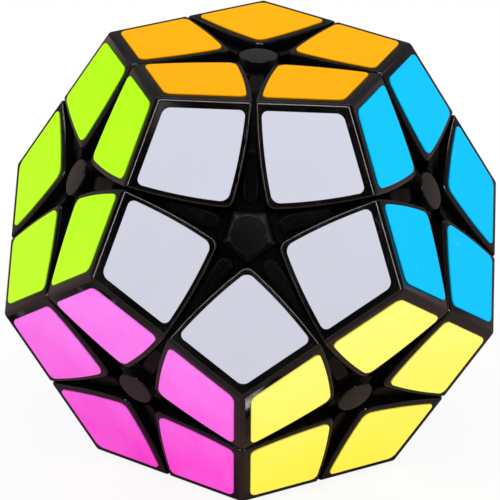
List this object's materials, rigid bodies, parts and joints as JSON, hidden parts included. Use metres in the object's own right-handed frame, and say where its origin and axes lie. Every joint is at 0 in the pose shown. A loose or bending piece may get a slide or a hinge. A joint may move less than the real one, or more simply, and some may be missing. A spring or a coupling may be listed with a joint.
{
  "type": "dodecahedron twisty puzzle",
  "caption": "Twelve-sided turning puzzle: kite-stickered corner pieces round black hubs on a sprung core, with three independent faces turning.",
  "frame": {"origin": "centre of the core ball, which is the centre of the dodecahedron", "axes": "+Z out of the orange face, -Z out of the red face it rests on, -Y towards the light grey face above the front, +X to the right of it"},
  "size_m": [0.0814, 0.0854, 0.07],
  "materials": {
    "vinyl_orange": "semi-gloss printed vinyl film",
    "vinyl_grey": "semi-gloss printed vinyl film",
    "vinyl_sky_blue": "semi-gloss printed vinyl film",
    "vinyl_cream": "semi-gloss printed vinyl film",
    "vinyl_pink": "semi-gloss printed vinyl film",
    "vinyl_lime": "semi-gloss printed vinyl film",
    "vinyl_red": "semi-gloss printed vinyl film",
    "vinyl_purple": "semi-gloss printed vinyl film",
    "vinyl_yellow": "semi-gloss printed vinyl film",
    "vinyl_dark_green": "semi-gloss printed vinyl film",
    "vinyl_white": "semi-gloss printed vinyl film",
    "vinyl_dark_blue": "semi-gloss printed vinyl film",
    "shell_plastic": "glossy injection-moulded ABS",
    "cap_plastic": "satin injection-moulded ABS",
    "edge_plastic": "satin injection-moulded ABS",
    "hub_plastic": "satin injection-moulded ABS",
    "foot_plastic": "satin injection-moulded ABS",
    "core_plastic": "satin injection-moulded ABS",
    "screw_steel": "zinc plated",
    "washer_steel": "bright",
    "spring_steel": "drawn wire"
  },
  "bodies": {
    "core_body": {"centre_caps_body": "cap_plastic", "core_lower_half": "core_plastic", "core_upper_half": "core_plastic", "corner_feet_body": "foot_plastic", "corner_shells_body": "shell_plastic", "dark_green_stickers_body": "vinyl_dark_green", "face_centre_dark_green": "hub_plastic", "face_centre_grey": "hub_plastic", "face_centre_lime": "hub_plastic", "face_centre_pink": "hub_plastic", "face_centre_purple": "hub_plastic", "face_centre_red": "hub_plastic", "face_centre_sky_blue": "hub_plastic", "face_centre_white": "hub_plastic", "face_centre_yellow": "hub_plastic", "grey_stickers_body": "vinyl_grey", "hidden_edges_body": "edge_plastic", "lime_stickers_body": "vinyl_lime", "pink_stickers_body": "vinyl_pink", "purple_stickers_body": "vinyl_purple", "red_stickers_body": "vinyl_red", "sky_blue_stickers_body": "vinyl_sky_blue", "spring_washers": "washer_steel", "tension_screws": "screw_steel", "tension_springs": "spring_steel", "white_stickers_body": "vinyl_white", "yellow_stickers_body": "vinyl_yellow"},
    "orange_layer": {"centre_cap_orange_layer": "cap_plastic", "corner_feet_orange_layer": "foot_plastic", "corner_shells_orange_layer": "shell_plastic", "face_centre_orange": "hub_plastic", "grey_stickers_orange_layer": "vinyl_grey", "hidden_edges_orange_layer": "edge_plastic", "lime_stickers_orange_layer": "vinyl_lime", "orange_stickers_orange_layer": "vinyl_orange", "purple_stickers_orange_layer": "vinyl_purple", "sky_blue_stickers_orange_layer": "vinyl_sky_blue", "yellow_stickers_orange_layer": "vinyl_yellow"},
    "cream_layer": {"centre_cap_cream_layer": "cap_plastic", "corner_feet_cream_layer": "foot_plastic", "corner_shells_cream_layer": "shell_plastic", "cream_stickers_cream_layer": "vinyl_cream", "dark_green_stickers_cream_layer": "vinyl_dark_green", "face_centre_cream": "hub_plastic", "grey_stickers_cream_layer": "vinyl_grey", "hidden_edges_cream_layer": "edge_plastic", "pink_stickers_cream_layer": "vinyl_pink", "red_stickers_cream_layer": "vinyl_red", "sky_blue_stickers_cream_layer": "vinyl_sky_blue"},
    "dark_blue_layer": {"centre_cap_dark_blue_layer": "cap_plastic", "corner_feet_dark_blue_layer": "foot_plastic", "corner_shells_dark_blue_layer": "shell_plastic", "dark_blue_stickers_dark_blue_layer": "vinyl_dark_blue", "face_centre_dark_blue": "hub_plastic", "hidden_edges_dark_blue_layer": "edge_plastic", "lime_stickers_dark_blue_layer": "vinyl_lime", "pink_stickers_dark_blue_layer": "vinyl_pink", "red_stickers_dark_blue_layer": "vinyl_red", "white_stickers_dark_blue_layer": "vinyl_white", "yellow_stickers_dark_blue_layer": "vinyl_yellow"}
  },
  "joints": [
    {"name": "face_turn_orange", "type": "hinge", "parent": "core_body", "child": "orange_layer", "pos_m": [0, 0, 0], "axis": [0, 0, 1], "continuous": true},
    {"name": "face_turn_cream", "type": "hinge", "parent": "core_body", "child": "cream_layer", "pos_m": [0, 0, 0], "axis": [0.5257, -0.7236, -0.4472], "continuous": true},
    {"name": "face_turn_dark_blue", "type": "hinge", "parent": "core_body", "child": "dark_blue_layer", "pos_m": [0, 0, 0], "axis": [-0.8507, 0.2764, -0.4472], "continuous": true}
  ]
}
